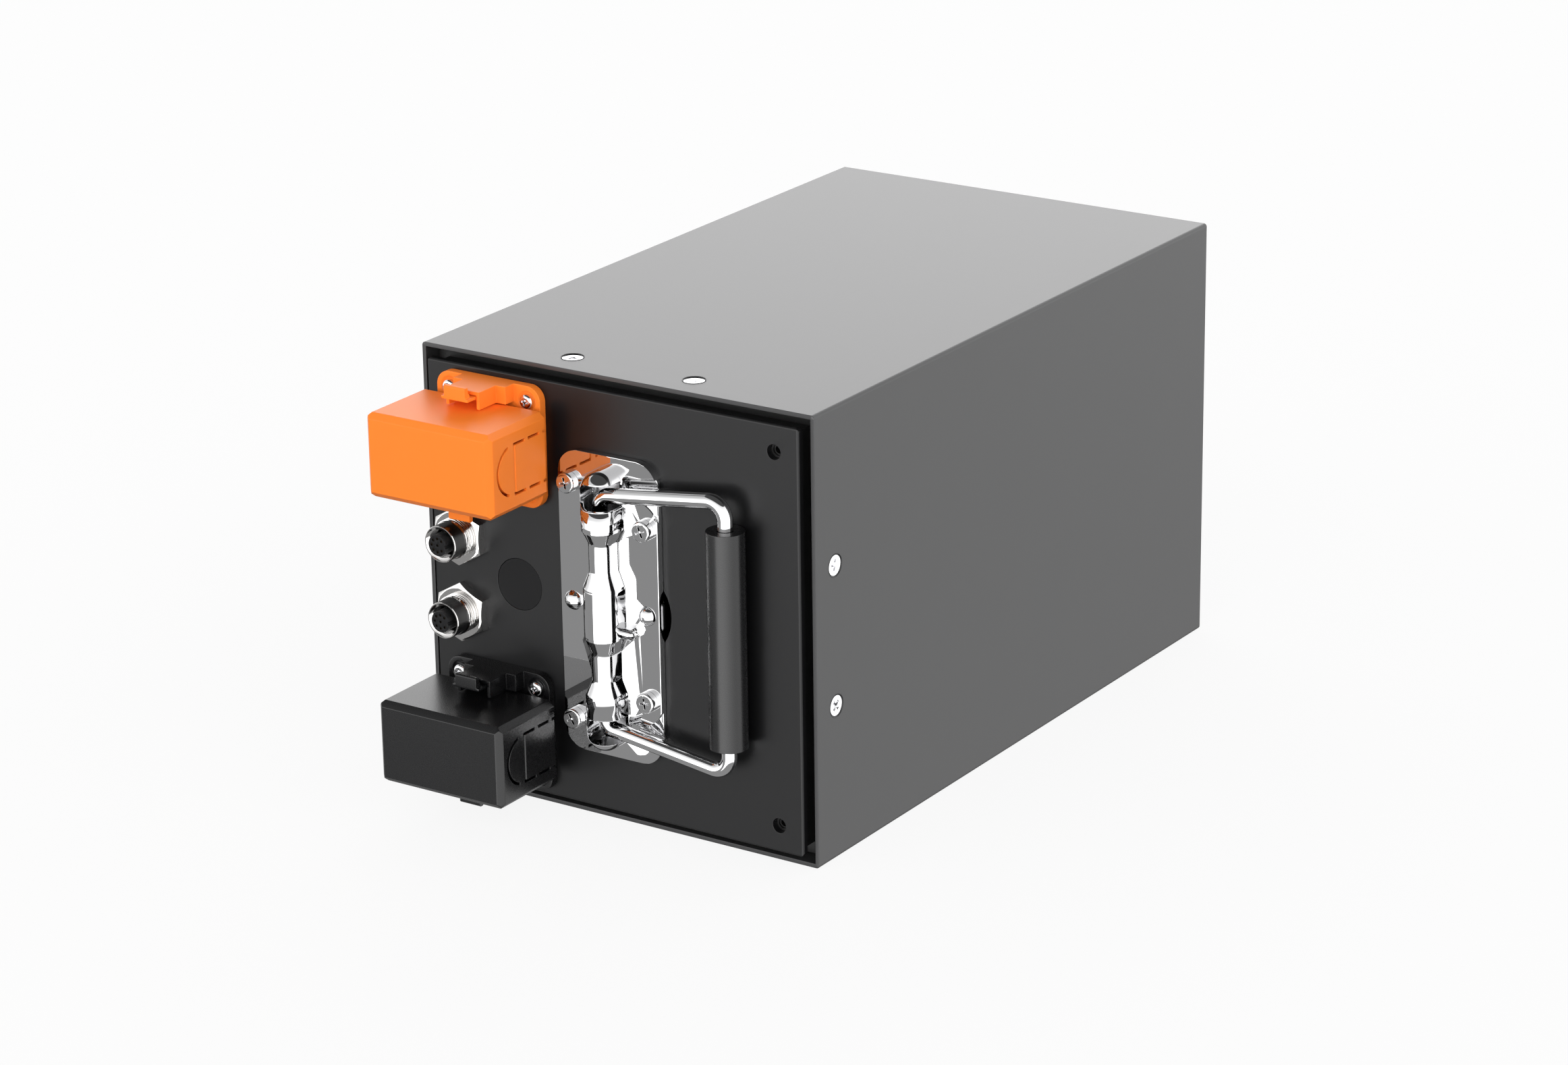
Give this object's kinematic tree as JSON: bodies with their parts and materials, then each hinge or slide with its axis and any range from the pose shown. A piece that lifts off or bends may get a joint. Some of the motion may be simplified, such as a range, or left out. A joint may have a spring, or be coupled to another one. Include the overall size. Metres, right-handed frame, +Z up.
{
  "type": "lithium iron phosphate battery module",
  "caption": "Lithium iron phosphate battery module in a square metal case, with a folding handle, two covered power terminals and round signal sockets on the front panel.",
  "frame": {"origin": "middle of the underside of the case, on the surface it stands on", "axes": "+X to the right seen from the front, +Y towards the back along the case, +Z up"},
  "size_m": [0.18, 0.3496, 0.18],
  "materials": {
    "case": "satin anodised sheet",
    "panel": "dark anodised plate, fine satin",
    "frame_metal": "milled",
    "orange_cap": "moulded, satin",
    "black_cap": "moulded, satin",
    "bright_screw": "bright nickel plate",
    "handle_metal": "polished chrome plate",
    "grip_black": "satin tube",
    "socket_metal": "nickel plate",
    "black_plastic": "moulded, matt",
    "seal": "matt",
    "brass": "turned",
    "copper": "copper bar, bare",
    "steel": "plain",
    "cell_blue": "wrapped film",
    "pale_sheet": "plain sheet",
    "foam": "closed foam",
    "board": "board with solder resist"
  },
  "bodies": {
    "module": {"case_sleeve": "case", "case_screws": "bright_screw", "front_frame": "frame_metal", "rear_frame": "frame_metal", "front_panel": "panel", "rear_panel": "panel", "panel_studs": "steel", "panel_nuts": "steel", "rear_panel_screws": "bright_screw", "bracket_inserts": "frame_metal", "vent_plug": "black_plastic", "positive_base": "orange_cap", "negative_base": "black_cap", "positive_cover": "orange_cap", "negative_cover": "black_cap", "base_screws": "bright_screw", "base_seals": "seal", "positive_stud": "brass", "negative_stud": "brass", "stud_washers": "steel", "stud_nuts": "steel", "socket_shells": "socket_metal", "socket_nuts": "socket_metal", "socket_inserts": "black_plastic", "socket_contacts": "brass", "socket_seals": "seal", "handle_plate": "handle_metal", "handle_keeper": "steel", "handle_rivets": "handle_metal", "handle_screws": "handle_metal", "handle_nuts": "steel", "handle_spring": "steel", "base_pad": "foam", "side_pads": "foam", "cells": "cell_blue", "cell_sheets": "pale_sheet", "front_end_plate": "frame_metal", "rear_end_plate": "frame_metal", "tie_straps": "steel", "strap_screws": "steel", "stack_stops": "black_plastic", "busbar_tray": "black_plastic", "tray_lid": "pale_sheet", "cell_links": "copper", "sense_strip": "copper", "fuse_base": "black_plastic", "fuse_link": "steel", "fuse_bolts": "steel", "positive_front_bar": "copper", "positive_rear_bar": "copper", "negative_cell_bar": "copper", "negative_front_bar": "copper", "control_board": "board", "board_standoffs": "brass", "board_screws": "steel", "board_parts": "black_plastic", "heat_sink": "frame_metal", "signal_leads": "seal"},
    "handle": {"bail": "handle_metal", "grip": "grip_black"}
  },
  "joints": [
    {"name": "handle_fold", "type": "hinge", "parent": "module", "child": "handle", "pos_m": [0.00065, -0.1612, 0.09], "axis": [0, 0, -1], "range_deg": [0, 90], "stiffness_Nm_per_rad": 0.2, "springref_deg": -28.65}
  ]
}
